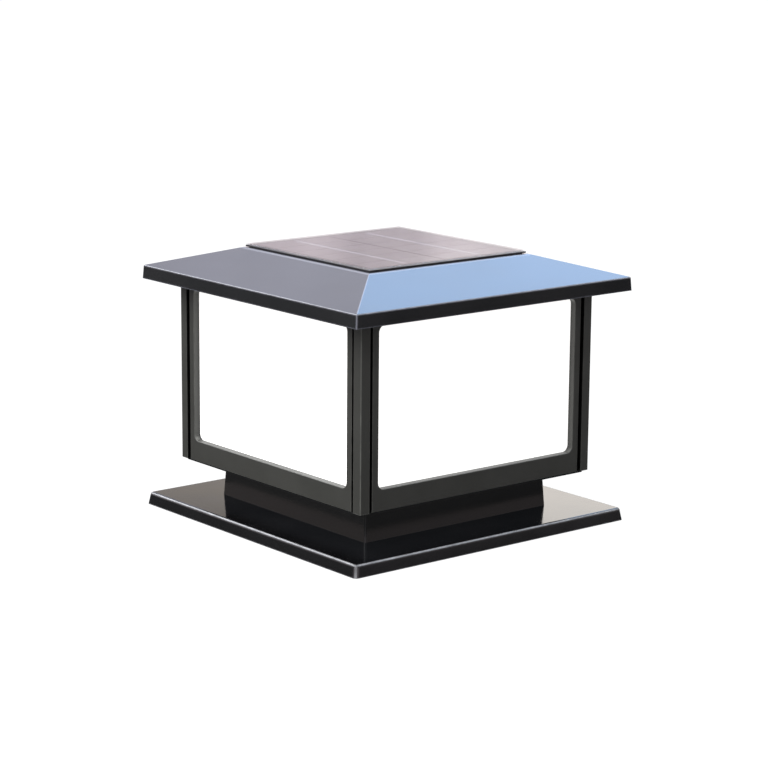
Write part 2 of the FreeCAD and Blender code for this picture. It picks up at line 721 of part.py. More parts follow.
def ceiling_tray(boss_spots):
    """The moulding that closes the roof: a flat plate under the eaves, and a pan in the middle
    that drops through the upper ring and holds the electronics."""
    body = new_body("ceiling_tray")
    flat = new_sketch(body, "tray_z")
    square(flat, "tray_half")
    pad(body, flat, "tray_thickness")
    drop = new_sketch(body, "pan_z")
    square(drop, "pan_half")
    pad(body, drop, "pan_depth")
    well = new_sketch(body, "tray_top_z")
    square(well, "pan_half - pan_wall")
    pocket(body, well, "tray_top_z - pan_floor_z")
    studs = new_sketch(body, "pan_floor_z")
    for x, y in control_spots():
        circle(studs, x, y, "standoff_width")
    pad(body, studs, "standoff_height")
    bores = new_sketch(body, "control_z")
    for x, y in control_spots():
        circle(bores, x, y, THREAD)
    pocket(body, bores, "standoff_height")
    rebate = new_sketch(body, "pan_z")
    bay_rectangle(rebate, "lid_half_x", "lid_half_y")
    pocket(body, rebate, "lid_thickness", upward=True)
    bay = new_sketch(body, "pan_floor_z")
    bay_rectangle(bay, "bay_half", "bay_side")
    pocket(body, bay, "pan_wall")
    holes = new_sketch(body, "tray_top_z")
    for x, y in boss_spots:
        circle(holes, x, y, PASS)
    circle(holes, "switch_x", "switch_back", "button_diameter + 2 * button_gap")
    pocket(body, holes, "tray_thickness")
    lamp_holes = new_sketch(body, "pan_floor_z")
    for x, y in at_corners("lamp_screw_spot"):
        circle(lamp_holes, x, y, THREAD)
    circle(lamp_holes, "0", "lamp_lead_spot", PAIR_HOLE)
    pocket(body, lamp_holes, "pan_wall")
    keep(body, "ceiling_tray")
    screws("tray_screws", boss_spots, "tray_z", "tray_thickness + tray_screw_bite", heads_up=False)


def control_spots():
    """The controller's four screws."""
    out_x = "control_length / 2 - control_hole_inset"
    out_y = "control_width / 2 - control_hole_inset"
    return [(f"{sx} * ({out_x})", f"control_y + {sy} * ({out_y})")
            for sx in (-1, 1) for sy in (-1, 1)]


def bay_rectangle(sketch, half_x, half_y):
    """A rectangle about the battery's middle."""
    rectangle(sketch, minus(half_x), f"battery_y - ({half_y})",
              half_x, f"battery_y + {half_y}")


def lamp():
    """The reflector sheet, the lamp board through it, its chips and its screws."""
    sheet_body = new_body("reflector")
    outline = new_sketch(sheet_body, "pan_z - reflector_thickness")
    square(outline, "pan_half - reflector_inset")
    square(outline, "lamp_half + lamp_board_clearance")
    bay_rectangle(outline, "lid_half_x", "lid_half_y")
    pad(sheet_body, outline, "reflector_thickness")
    keep(sheet_body, "reflector")
    board_z = "lamp_z"
    holes = [(x, y, PASS) for x, y in at_corners("lamp_screw_spot")]
    holes.append(("0", "lamp_lead_spot", PAIR_HOLE))
    keep(plate("lamp_board", board_z, "lamp_board_thickness", "lamp_half", holes=holes),
         "lamp_board")
    chips = new_body("lamp_chips")
    sketch = new_sketch(chips, board_z)
    middle = (CHIPS_PER_SIDE - 1) / 2
    pitch = f"(lamp_half - chip_margin) / {middle}"
    for column in range(CHIPS_PER_SIDE):
        for line in range(CHIPS_PER_SIDE):
            x, y = f"{column - middle} * {pitch}", f"{line - middle} * {pitch}"
            rectangle(sketch, f"{x} - chip_width / 2", f"{y} - chip_width / 2",
                      f"{x} + chip_width / 2", f"{y} + chip_width / 2")
    pad(chips, sketch, "chip_height", downward=True)
    keep(chips, "lamp_chips")
    screws("lamp_screws", at_corners("lamp_screw_spot"), board_z, "lamp_board_thickness + pan_wall",
           heads_up=False)


def solar_panel():
    """Foam tape, backboard, cells in two columns, a ribbon along each column, and a clear sheet."""
    keep(plate("panel_tape", "tape_z", "panel_tape_thickness", "panel_half - panel_tape_inset",
               "panel_half - panel_tape_inset - panel_tape_band"), "panel_tape")
    keep(plate("solar_backboard", "backboard_z", "backboard_thickness", "panel_half"),
         "solar_backboard")
    cells = new_body("solar_cells")
    sketch = new_sketch(cells, "cell_z")
    step = f"(2 * cells_half + cell_gap) / {CELL_ROWS}"
    for line in range(CELL_ROWS):
        low_x = f"{line} * {step} - cells_half"
        high_x = f"{low_x} + {step} - cell_gap"
        rectangle(sketch, low_x, "column_gap / 2", high_x, "cells_half")
        rectangle(sketch, low_x, minus("cells_half"), high_x, minus("column_gap / 2"))
    pad(cells, sketch, "cell_thickness")
    keep(cells, "solar_cells")
    ribbons = new_body("solar_ribbons")
    sketch = new_sketch(ribbons, "cover_z")
    ribbon_rectangles(sketch)
    pad(ribbons, sketch, "ribbon_thickness")
    keep(ribbons, "solar_ribbons")
    cover = new_body("solar_cover")
    sketch = new_sketch(cover, "cover_z")
    square(sketch, "panel_half")
    pad(cover, sketch, "panel_cover_thickness")
    channel = new_sketch(cover, "cover_z")
    ribbon_rectangles(channel)
    pocket(cover, channel, "ribbon_thickness", upward=True)
    keep(cover, "solar_cover")


def ribbon_rectangles(sketch):
    """The two ribbons' outlines, one along the middle of each column of cells."""
    half = "cells_half - ribbon_inset"
    for side in (-1, 1):
        middle = f"{side} * column_middle"
        rectangle(sketch, minus(half), f"{middle} - ribbon_width / 2",
                  half, f"{middle} + ribbon_width / 2")


def lead_grommet():
    """A rubber grommet in the roof's lead hole, with a flange under the roof."""
    body = new_body("lead_grommet")
    plug = new_sketch(body, "roof_top_z - roof_wall")
    circle(plug, "0", "0", "lead_hole - 2 * thread_gap")
    circle(plug, "0", "0", PAIR_HOLE)
    pad(body, plug, "roof_wall")
    flange = new_sketch(body, "roof_top_z - roof_wall")
    circle(flange, "0", "0", "lead_hole + 2 * grommet_lap")
    circle(flange, "0", "0", PAIR_HOLE)
    pad(body, flange, "grommet_flange", downward=True)
    keep(body, "lead_grommet")


# ---- battery, controller and switch -----------------------------------------------------------

def battery():
    """A round cell over the bay, its holder, its two contacts and the lid under it."""
    round_cell = new_body("battery_cell")
    end = new_sketch(round_cell, minus("battery_length / 2"), "YZ_Plane")
    circle(end, "battery_y", "battery_z", "battery_diameter")
    pad(round_cell, end, "battery_length")
    keep(round_cell, "battery_cell")

    holder = new_body("battery_holder")
    walls = new_sketch(holder, "pan_floor_z")
    bay_rectangle(walls, "bay_half + holder_wall", "bay_side + holder_wall")
    bay_rectangle(walls, "bay_half", "bay_side")
    pad(holder, walls, "holder_height")
    keep(holder, "battery_holder")

    contacts = new_body("battery_contacts")
    for side, sign in ((minus("bay_half"), 1), ("bay_half", -1)):
        outline = new_sketch(contacts, side, "YZ_Plane")
        rectangle(outline, "battery_y - contact_width / 2", "pan_floor_z + contact_margin",
                  "battery_y + contact_width / 2",
                  "pan_floor_z + holder_height - contact_margin")
        pad(contacts, outline, "contact_thickness", downward=sign < 0)
        nib = new_sketch(contacts, side, "YZ_Plane")
        circle(nib, "battery_y", "battery_z", "contact_nib")
        pad(contacts, nib, "bay_half - battery_length / 2 - thread_gap", downward=sign < 0)
    keep(contacts, "battery_contacts")

    lid = new_body("battery_lid")
    flat = new_sketch(lid, "pan_z")
    bay_rectangle(flat, "lid_half_x - lid_clearance", "lid_half_y - lid_clearance")
    pad(lid, flat, "lid_thickness")
    plug = new_sketch(lid, "pan_z + lid_thickness")
    bay_rectangle(plug, "bay_half - lid_clearance", "bay_side - lid_clearance")
    pad(lid, plug, "lid_plug")
    grips = new_sketch(lid, "pan_z")
    for step in (-1, 0, 1):
        middle = f"battery_y + {step} * grip_pitch"
        rectangle(grips, "bay_half - grip_inset - grip_length", f"{middle} - grip_width / 2",
                  "bay_half - grip_inset", f"{middle} + grip_width / 2")
    pocket(lid, grips, "lid_thickness / 2", upward=True)
    keep(lid, "battery_lid")


def controller():
    """The charge controller on its four studs, with its parts and screws."""
    board = new_body("control_board")
    outline = new_sketch(board, "control_z")
    rectangle(outline, minus("control_length / 2"), "control_y - control_width / 2",
              "control_length / 2", "control_y + control_width / 2")
    for x, y in control_spots():
        circle(outline, x, y, PASS)
    circle(outline, "0", "lamp_lead_spot", PAIR_HOLE)
    pad(board, outline, "control_thickness")
    keep(board, "control_board")

    parts = new_body("control_parts")
    for name, middle_x, middle_y, length, width, height in CONTROL_PARTS:
        outline = new_sketch(parts, "control_top_z")
        rectangle(outline, f"{middle_x - length / 2}", f"control_y + {middle_y - width / 2}",
                  f"{middle_x + length / 2}", f"control_y + {middle_y + width / 2}")
        pad(parts, outline, str(height))
    outline = new_sketch(parts, "control_top_z")
    circle(outline, str(CAPACITOR["x"]), f"control_y + {CAPACITOR['y']}",
           str(CAPACITOR["diameter"]))
    pad(parts, outline, str(CAPACITOR["height"]))
    keep(parts, "control_parts")
    screws("control_screws", control_spots(), "control_top_z", "control_thickness + stud_screw_bite",
           heads_up=True)


def push_switch():
    """A push switch on the tray, under the left eave, with its button through the plate."""
    x, y = "switch_x", "switch_back"
    case = new_body("switch_body")
    outline = new_sketch(case, "tray_top_z")
    half = "switch_width / 2"
    rectangle(outline, f"{x} - {half}", f"{y} - {half}", f"{x} + {half}", f"{y} + {half}")
    pad(case, outline, "switch_height")
    bore = new_sketch(case, "tray_top_z")
    circle(bore, x, y, "button_flange_diameter + 2 * button_gap")
    pocket(case, bore, "switch_roof_z - tray_top_z", upward=True)
    keep(case, "switch_body")

    button = new_body("switch_button")
    stem = new_sketch(button, "button_z")
    circle(stem, x, y, "button_diameter")
    pad(button, stem, "button_stem + tray_thickness + button_lift")
    flange = new_sketch(button, "tray_top_z + button_lift")
    circle(flange, x, y, "button_flange_diameter")
    pad(button, flange, "button_flange")
    low = number("button_z")
    fillet(button, "button_edge", lambda edge: lies_at(edge, low))
    keep(button, "switch_button")


def lead(label, routes):
    """Insulated wires, each along straight runs joined by tangent arcs."""
    radius = number("lead_diameter / 2")
    bend = number("lead_bend")
    wires = []
    for route in routes:
        points = [FreeCAD.Vector(*[number(text) for text in point]) for point in route]
        edges = []
        start = points[0]
        for before, corner, after in zip(points, points[1:], points[2:]):
            inward = (corner - before).normalize()
            outward = (after - corner).normalize()
            turn = inward.getAngle(outward)
            back = bend * math.tan(turn / 2)
            arc_start = corner - inward * back
            arc_end = corner + outward * back
            bisector = (outward - inward).normalize()
            middle = corner + bisector * (bend / math.cos(turn / 2) - bend)
            edges.append(Part.LineSegment(start, arc_start).toShape())
            edges.append(Part.Arc(arc_start, middle, arc_end).toShape())
            start = arc_end
        edges.append(Part.LineSegment(start, points[-1]).toShape())
        path = Part.Wire(edges)
        ring = Part.Wire(Part.makeCircle(radius, points[0], points[1] - points[0]))
        wires.append(path.makePipeShell([ring], True, False))
    feature = doc.addObject("Part::Feature", label)
    feature.Shape = Part.makeCompound(wires)
    keep(feature, label)


def leads():
    """The pairs from the controller to the panel, the lamp board, the battery and the switch.
    The battery's two wires come from the two ends of its holder."""
    board = "control_top_z + lead_touch"
    rise = "control_top_z + lead_rise"
    panel, lamp_pair, cell, switch = [], [], [], []
    for side in (-1, 1):
        aside = f"{side} * lead_pitch / 2"
        over = "tray_top_z + lead_diameter + lead_stand + lead_rise / 2"
        back_y = "control_y + control_width / 2 - lead_inset / 2"
        panel.append([(aside, "0", "backboard_z - lead_touch"), (aside, "0", over),
                      (aside, back_y, over), (aside, back_y, board)])

        apart = f"{side} * lamp_lead_spread / 2"
        lamp_pair.append([(aside, "lamp_lead_spot", "lamp_z"),
                          (aside, "lamp_lead_spot", rise), (apart, "lamp_lead_spot", rise),
                          (apart, "lamp_lead_spot", board)])

        end_x = f"{side} * (bay_half + holder_wall + lead_diameter / 2 + lead_stand)"
        near_x = f"{side} * (control_length / 2 - lead_inset)"
        middle_y = "control_y + lead_inset"
        cell.append([(end_x, "battery_y", rise), (end_x, middle_y, rise),
                     (near_x, middle_y, rise), (near_x, middle_y, board)])

        low = "tray_top_z + lead_diameter / 2 + lead_stand"
        far_y = f"switch_back + {aside}"
        run_x = f"switch_lead_x + {aside}"
        near_y = f"control_y - lead_inset + {aside}"
        stop_x = f"lead_inset - control_length / 2 + {aside}"
        switch.append([("switch_x + switch_width / 2 + lead_touch", far_y, low),
                       (run_x, far_y, low), (run_x, near_y, low),
                       (stop_x, near_y, low), (stop_x, near_y, board)])
    lead("panel_lead", panel)
    lead("lamp_lead", lamp_pair)
    lead("battery_lead", cell)
    lead("switch_lead", switch)


# ---- assembly ---------------------------------------------------------------------------------

CORNERS = ["front_right", "back_right", "back_left", "front_left"]
SIDES = ["front", "right", "back", "left"]

base_plate()
neck()
lower_ring()
for turns, corner_name in enumerate(CORNERS):
    corner_post("post_" + corner_name, turns)
for turns, side_name in enumerate(SIDES):
    window_frame("frame_" + side_name, turns)
    opal_pane("pane_" + side_name, turns)
upper_ring()
tray_screw_spots = roof_shell()
ceiling_tray(tray_screw_spots)
lamp()
battery()
controller()
push_switch()
leads()
lead_grommet()
solar_panel()
doc.recompute()

faults = [thing.Name for thing in doc.Objects if {"Invalid", "Error"} & set(thing.State)]
faults += [piece.Label for piece in PIECES if piece.Shape.isNull() or not piece.Shape.isValid()]
if faults:
    raise RuntimeError("failed objects: " + ", ".join(faults))

os.makedirs("parts", exist_ok=True)
for piece in PIECES:
    piece.Shape.exportStep(f"parts/{piece.Label}.step")
    print(f"{piece.Label:20s} {len(piece.Shape.Solids):3d} solids {piece.Shape.Volume:12.1f} mm3")
print(len(PIECES), "pieces")
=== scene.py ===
import math

import bmesh
import bpy
from mathutils import Matrix, Vector


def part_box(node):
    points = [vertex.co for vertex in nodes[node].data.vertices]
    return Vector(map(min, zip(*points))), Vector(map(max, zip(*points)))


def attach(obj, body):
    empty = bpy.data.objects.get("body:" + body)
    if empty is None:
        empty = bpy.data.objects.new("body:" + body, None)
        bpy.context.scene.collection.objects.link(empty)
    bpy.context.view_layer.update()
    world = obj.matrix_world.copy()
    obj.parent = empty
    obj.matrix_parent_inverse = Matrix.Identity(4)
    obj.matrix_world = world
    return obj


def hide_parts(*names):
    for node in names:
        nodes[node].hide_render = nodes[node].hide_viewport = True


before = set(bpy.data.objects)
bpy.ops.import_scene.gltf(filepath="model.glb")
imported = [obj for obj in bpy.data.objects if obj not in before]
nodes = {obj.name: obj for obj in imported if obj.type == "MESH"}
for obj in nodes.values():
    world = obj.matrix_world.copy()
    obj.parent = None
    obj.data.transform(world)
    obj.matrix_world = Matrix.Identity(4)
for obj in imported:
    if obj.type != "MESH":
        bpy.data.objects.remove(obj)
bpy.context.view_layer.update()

# A solar cap light for a deck post. The script follows the light as it is put together: base and
# neck, lantern, opal panes, roof with its tray and electrics, and the solar panel on top. The room
# that it stands in comes last. Everything is in metres; front is -Y, right is +X.
scene = bpy.context.scene


# ---- Base plate and neck: black enamelled castings -----------------------------------------------
# The base is a shallow pressure-cast tray that lies on the post, with a soft top edge. The neck is
# a square collar screwed down onto it. They and the sheet ring on the neck carry gloss enamel, with
# a faint ripple, a little dust on flat tops and a paler line along the edges, mostly the base's,
# which is partly wear and partly a painted highlight. The neck and its ring take a darker, duller
# copy of the enamel with fainter edges: painted shade, as they stand under the lantern.

DUST_COLOUR = (0.42, 0.40, 0.37, 1)
# Near-black laid into grooves and inner corners: grime and painted shade.
GRIME_AND_SHADE_COLOUR = (0.0015, 0.0015, 0.0015, 1)
GRAIN_DEPTH = 0.0004


def new_material(name):
    """A material with an empty shader tree, the tree, and its output."""
    material = bpy.data.materials.new(name)
    material.use_nodes = True
    tree = material.node_tree
    tree.nodes.clear()
    return material, tree, tree.nodes.new("ShaderNodeOutputMaterial")


def feed(tree, socket, value):
    """Gives an input its value, or links another node's output to it."""
    if isinstance(value, bpy.types.NodeSocket):
        tree.links.new(value, socket)
    else:
        socket.default_value = value


def put(tree, kind, settings=None, **inputs):
    """A new node. Its settings are attributes; its inputs are values or another node's outputs."""
    node = tree.nodes.new(kind)
    for name, value in (settings or {}).items():
        setattr(node, name, value)
    for name, value in inputs.items():
        key = int(name[1:]) if name[0] == "i" and name[1:].isdigit() else name.replace("_", " ")
        feed(tree, node.inputs[key], value)
    return node


def calc(tree, operation, first, second=0.0, clamp=False):
    """The output of a Math node."""
    return put(tree, "ShaderNodeMath", {"operation": operation, "use_clamp": clamp},
               i0=first, i1=second).outputs[0]


def blend_colours(tree, share, first, second):
    """A colour between two, by share."""
    return put(tree, "ShaderNodeMix", {"data_type": "RGBA"},
               i0=share, i6=first, i7=second).outputs[2]


def spread(tree, value, low, high, to_low=0.0, to_high=1.0):
    """A value moved from one range into another, clamped."""
    return put(tree, "ShaderNodeMapRange", {"clamp": True},
               i0=value, i1=low, i2=high, i3=to_low, i4=to_high).outputs[0]


def place_on(tree):
    """Where a point lies on its piece, in metres."""
    return tree.nodes.new("ShaderNodeTexCoord").outputs["Object"]


def relief(tree, height, strength, depth):
    """The normal of a surface that a height disturbs."""
    return put(tree, "ShaderNodeBump", Height=height, Strength=strength,
               Distance=depth).outputs["Normal"]


def surface(tree, output, **inputs):
    """The Principled shader of a material, from its values and from what changes over it."""
    shader = put(tree, "ShaderNodeBsdfPrincipled", **inputs)
    tree.links.new(shader.outputs[0], output.inputs["Surface"])


def group(name, inputs, outputs):
    """A shader node group with named sockets, given as (name, kind, value)."""
    tree = bpy.data.node_groups.new(name, "ShaderNodeTree")
    for label, kind, value in inputs:
        socket = tree.interface.new_socket(label, in_out="INPUT", socket_type="NodeSocket" + kind)
        socket.default_value = value
    for label, kind in outputs:
        tree.interface.new_socket(label, in_out="OUTPUT", socket_type="NodeSocket" + kind)
    return tree, tree.nodes.new("NodeGroupInput").outputs, tree.nodes.new("NodeGroupOutput").inputs


def use(tree, shared, **inputs):
    """A shared group placed in a material, with its own values."""
    return put(tree, "ShaderNodeGroup", {"node_tree": shared}, **inputs)


def grain_group():
    """Fine surface grain and slow unevenness, read from the piece's own coordinates."""
    tree, given, result = group("grain", [("Fine Scale", "Float", 900.0),
                                          ("Slow Scale", "Float", 30.0)],
                                [("Fine", "Float"), ("Slow", "Float")])
    place = place_on(tree)
    fine = put(tree, "ShaderNodeTexNoise", Vector=place, Scale=given["Fine Scale"], Detail=2.0)
    slow = put(tree, "ShaderNodeTexNoise", Vector=place, Scale=given["Slow Scale"], Detail=4.0)
    tree.links.new(fine.outputs["Fac"], result["Fine"])
    tree.links.new(slow.outputs["Fac"], result["Slow"])
    return tree


def edge_wear_and_highlight_group():
    """A mask of outside edges, broken by noise, that gives both rubbed wear and a painted highlight
    along them. An edge is where a rounded normal leaves the true one, or where a cast edge is
    itself round, so that its normal leans between two sides."""
    tree, given, result = group("edge_wear_and_highlight", [("Width", "Float", 0.0006),
                                              ("Breakup", "Float", 0.5),
                                              ("Full Lean", "Float", 0.90)], [("Mask", "Float")])
    soft = put(tree, "ShaderNodeBevel", {"samples": 4}, Radius=given["Width"]).outputs[0]
    true = tree.nodes.new("ShaderNodeNewGeometry").outputs["Normal"]
    lean = put(tree, "ShaderNodeVectorMath", {"operation": "DOT_PRODUCT"}, i0=soft, i1=true)
    sharp = spread(tree, lean.outputs["Value"], 0.998, given["Full Lean"])
    # The second largest part of the normal: 0.36 is a lean of 21 degrees and 0.56 one of 34.
    parts = put(tree, "ShaderNodeSeparateXYZ", Vector=put(
        tree, "ShaderNodeVectorMath", {"operation": "ABSOLUTE"}, i0=true).outputs[0]).outputs
    most = calc(tree, "MAXIMUM", calc(tree, "MAXIMUM", parts["X"], parts["Y"]), parts["Z"])
    least = calc(tree, "MINIMUM", calc(tree, "MINIMUM", parts["X"], parts["Y"]), parts["Z"])
    total = calc(tree, "ADD", calc(tree, "ADD", parts["X"], parts["Y"]), parts["Z"])
    second = calc(tree, "SUBTRACT", calc(tree, "SUBTRACT", total, most), least)
    edge = calc(tree, "MAXIMUM", sharp, spread(tree, second, 0.36, 0.56))
    noise = put(tree, "ShaderNodeTexNoise", Vector=place_on(tree), Scale=160.0, Detail=5.0)
    broken = spread(tree, noise.outputs["Fac"], 0.35, 0.75)
    kept = calc(tree, "SUBTRACT", 1.0, given["Breakup"])
    share = calc(tree, "ADD", calc(tree, "MULTIPLY", broken, given["Breakup"]), kept, True)
    tree.links.new(calc(tree, "MULTIPLY", edge, share), result["Mask"])
    return tree


def dust_group():
    """A mask of dust lying on upward faces, thin and clouded."""
    tree, given, result = group("dust", [("Amount", "Float", 0.3)], [("Mask", "Float")])
    up = put(tree, "ShaderNodeSeparateXYZ",
             Vector=tree.nodes.new("ShaderNodeNewGeometry").outputs["Normal"]).outputs["Z"]
    cloud = put(tree, "ShaderNodeTexNoise", Vector=place_on(tree), Scale=45.0, Detail=8.0,
                Roughness=0.65)
    lying = calc(tree, "MULTIPLY", spread(tree, up, 0.55, 0.98),
                 spread(tree, cloud.outputs["Fac"], 0.38, 0.78))
    tree.links.new(calc(tree, "MULTIPLY", lying, given["Amount"]), result["Mask"])
    return tree


def recess_group():
    """A mask of narrow grooves and inner corners, where grime gathers and shade is painted in."""
    tree, given, result = group("recess", [("Reach", "Float", 0.004)], [("Mask", "Float")])
    open_share = put(tree, "ShaderNodeAmbientOcclusion", {"samples": 6},
                     Distance=given["Reach"]).outputs["AO"]
    tree.links.new(spread(tree, open_share, 0.88, 0.52), result["Mask"])
    return tree


GRAIN = grain_group()
EDGE_WEAR_AND_HIGHLIGHT = edge_wear_and_highlight_group()
DUST = dust_group()
RECESS = recess_group()


def clouds(tree, grain, to_low=0.0, to_high=1.0):
    """The slow unevenness of a grain, moved into a range."""
    return spread(tree, grain.outputs["Slow"], 0.3, 0.7, to_low, to_high)


def dusted(tree, base, rough, amount):
    """A colour and a roughness with dust lying on them."""
    lying = use(tree, DUST, Amount=amount).outputs["Mask"]
    return (blend_colours(tree, lying, base, DUST_COLOUR),
            calc(tree, "ADD", rough, calc(tree, "MULTIPLY", lying, 0.5), True))


def finish_of(name, colour, tint, roughness, metallic=0.0, fine=900.0, slow=30.0, bump=0.05,
              wear_and_highlight=0.0, wear_and_highlight_colour=None, wear_and_highlight_width=0.0006, dust=0.0, grime_and_painted_shade=0.0,
              rough_swing=0.08):
    """A hard surface: two close colours clouded together and grain in the normal, with edges paled
    by wear and a painted highlight, dust, and grime with painted shade in grooves, where they are
    asked for."""
    material, tree, output = new_material(name)
    grain = use(tree, GRAIN, Fine_Scale=fine, Slow_Scale=slow)
    base = blend_colours(tree, clouds(tree, grain), (*colour, 1), (*tint, 1))
    rough = clouds(tree, grain, roughness - rough_swing, roughness + rough_swing)
    # Edges paled by rubbed wear and by a painted highlight.
    if wear_and_highlight:
        worn_and_lit_edge = use(tree, EDGE_WEAR_AND_HIGHLIGHT, Width=wear_and_highlight_width).outputs["Mask"]
        base = blend_colours(tree, calc(tree, "MULTIPLY", worn_and_lit_edge, wear_and_highlight), base, (*wear_and_highlight_colour, 1))
    if dust:
        base, rough = dusted(tree, base, rough, dust)
    # Grooves and inner corners darkened with grime and painted shade.
    if grime_and_painted_shade:
        closed_and_shaded = calc(tree, "MULTIPLY", use(tree, RECESS).outputs["Mask"], grime_and_painted_shade)
        base = blend_colours(tree, closed_and_shaded, base, GRIME_AND_SHADE_COLOUR)
    surface(tree, output, Base_Color=base, Roughness=rough, Metallic=metallic, IOR=1.5,
            Normal=relief(tree, grain.outputs["Fine"], bump, GRAIN_DEPTH))
    return material


def dress(material, *names):
    """Gives a material to CAD pieces, through their slots."""
    for name in names:
        piece = nodes[name]
        if not piece.material_slots:
            piece.data.materials.append(material)
        for held in piece.material_slots:
            held.material = material


# Its pale edge colour is a painted highlight along the soft top edge and corners, with some wear.
enamel = finish_of("black_enamel", (0.003, 0.003, 0.0035), (0.005, 0.005, 0.006), 0.12,
                   fine=420.0, slow=22.0, bump=0.02, wear_and_highlight=0.8, wear_and_highlight_colour=(0.42, 0.42, 0.44),
                   wear_and_highlight_width=0.0009, dust=0.006, rough_swing=0.03)
dress(enamel, "base_plate")
# A darker, duller copy of the enamel with fainter edges: painted shade for the neck and its ring.
shaded_neck_enamel = finish_of("shaded_neck_enamel", (0.0025, 0.0023, 0.0027), (0.0042, 0.0040, 0.0045), 0.15,
                        fine=420.0, slow=22.0, bump=0.02, wear_and_highlight=0.12,
                        wear_and_highlight_colour=(0.20, 0.20, 0.21), dust=0.006, rough_swing=0.03)
dress(shaded_neck_enamel, "neck", "lower_ring")


# ---- Screws: small stainless machine screws ------------------------------------------------------
# Four up into the neck, four down into it through the lower ring, twelve in each ring for the posts
# and frames, eight in the tray and four in each board. Turned steel with a fine grain.

screw_steel = finish_of("screw_steel", (0.55, 0.55, 0.56), (0.42, 0.42, 0.43), 0.30, metallic=1.0,
                        fine=2500.0, slow=400.0, bump=0.08, rough_swing=0.06)
dress(screw_steel, "base_screws", "neck_screws", "lower_ring_screws", "upper_ring_screws",
      "tray_screws", "lamp_screws", "control_screws")


# ---- Upper ring: zinc-plated sheet steel ---------------------------------------------------------
# It ties the posts and frames at the top, and the roof lies on it. Zinc crystals show as slightly
# different greys.

def crystals(tree, scale):
    """A grey for each crystal."""
    cells = put(tree, "ShaderNodeTexVoronoi", Vector=place_on(tree), Scale=scale)
    return put(tree, "ShaderNodeSeparateColor", Color=cells.outputs["Color"]).outputs[0]


def zinc_plate():
    """Plated steel, each crystal with its own grey and gloss."""
    material, tree, output = new_material("zinc_steel")
    shade = crystals(tree, 180.0)
    grain = use(tree, GRAIN, Fine_Scale=1500.0, Slow_Scale=60.0)
    surface(tree, output, Metallic=1.0,
            Base_Color=blend_colours(tree, shade, (0.50, 0.52, 0.54, 1), (0.66, 0.67, 0.68, 1)),
            Roughness=spread(tree, shade, 0.0, 1.0, 0.32, 0.46),
            Normal=relief(tree, grain.outputs["Fine"], 0.05, 0.0003))
    return material


dress(zinc_plate(), "upper_ring")


# ---- Posts and window frames: enamelled aluminium ------------------------------------------------
# Extruded corner posts and cast frames, sprayed with the base but satin rather than gloss, so they
# look a shade greyer. Their edges carry a paler line of wear and painted highlight, and the grooves
# between them are darkened with grime and painted shade.

CORNERS = ("front_right", "back_right", "back_left", "front_left")
SIDES = ("front", "right", "back", "left")
# Edges paled by wear and painted highlight; grooves darkened by grime and painted shade.
satin = finish_of("satin_enamel", (0.046, 0.046, 0.041), (0.056, 0.056, 0.050), 0.36, wear_and_highlight=0.5,
                  wear_and_highlight_colour=(0.30, 0.30, 0.28), grime_and_painted_shade=1.0, rough_swing=0.06)
dress(satin, *["post_" + corner for corner in CORNERS], *["frame_" + side for side in SIDES])


# ---- Opal panes: satin acrylic -------------------------------------------------------------------
# Milk-white sheet that spreads the lamp's light. The lamp is lit, and its light through the panes
# is painted on as an even glow.

def opal_acrylic():
    """Milk-white and satin, with an even glow painted on for the lit lamp behind it."""
    material, tree, output = new_material("opal")
    grain = use(tree, GRAIN, Fine_Scale=1800.0, Slow_Scale=12.0)
    # The emission is painted light: the lamp's light coming through the sheet.
    surface(tree, output, Roughness=0.38, Emission_Color=(1.0, 0.985, 0.96, 1),
            Emission_Strength=0.95,
            Base_Color=blend_colours(tree, grain.outputs["Slow"], (0.93, 0.93, 0.92, 1),
                                     (0.96, 0.96, 0.955, 1)),
            Normal=relief(tree, grain.outputs["Fine"], 0.03, 0.0002))
    return material


dress(opal_acrylic(), *["pane_" + side for side in SIDES])


# ---- Roof: the hipped casting --------------------------------------------------------------------
# One casting with a short upright rim, four low slopes and a flat top. It alone of the castings has
# a clear coat over its enamel, so its slopes take the sky's colour at a low angle. Dust is faint.

# Where the painted highlight along the hips is full and where it ends, and the heights over which
# it comes in round the fold under the panel.
HIP_FULL, HIP_END = 0.0002, 0.0007
FOLD_START, FOLD_FULL = 0.1539, 0.1542


